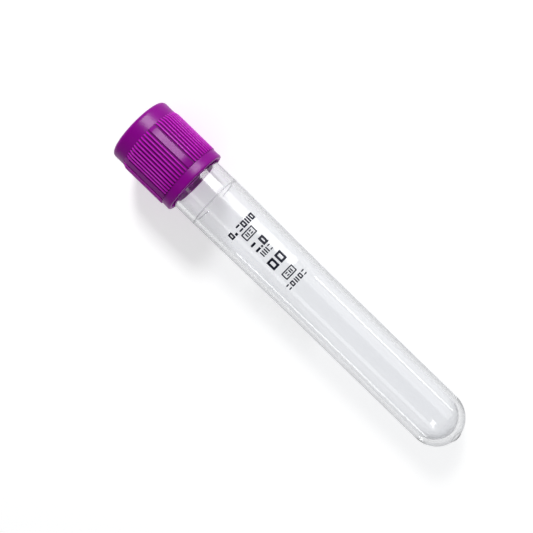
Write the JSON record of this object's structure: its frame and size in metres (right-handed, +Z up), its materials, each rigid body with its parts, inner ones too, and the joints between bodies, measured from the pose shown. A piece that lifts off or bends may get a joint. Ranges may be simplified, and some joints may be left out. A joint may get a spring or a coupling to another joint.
{
  "type": "blood collection tube",
  "caption": "Clear round-bottomed sample tube lying on its side, closed by a rubber stopper in a ribbed purple shield, with a clear film label. The closure pulls off.",
  "frame": {"origin": "centre of the bounding box's base, on the bench that the tube lies on", "axes": "+X from the closure towards the round bottom, +Z up. The tube's own axis tilts 1.36 degrees down towards the round bottom, because the closure is wider than the tube"},
  "size_m": [0.0966, 0.0164, 0.0167],
  "materials": {
    "clear_plastic": "clear, polished, faintly cool, smooth inside and out",
    "purple_rubber": "moulded rubber, satin, with a light film of silicone",
    "purple_plastic": "moulded plastic with a fine satin grain",
    "clear_film": "clear film with dark print, glossy"
  },
  "bodies": {
    "tube": {"tube": "clear_plastic", "clear_label": "clear_film"},
    "closure": {"shield": "purple_plastic", "stopper": "purple_rubber"}
  },
  "joints": [
    {"name": "closure_pull", "type": "slide", "parent": "tube", "child": "closure", "axis": [-0.9997, 0, 0.0238], "range_m": [0, 0.02]}
  ]
}
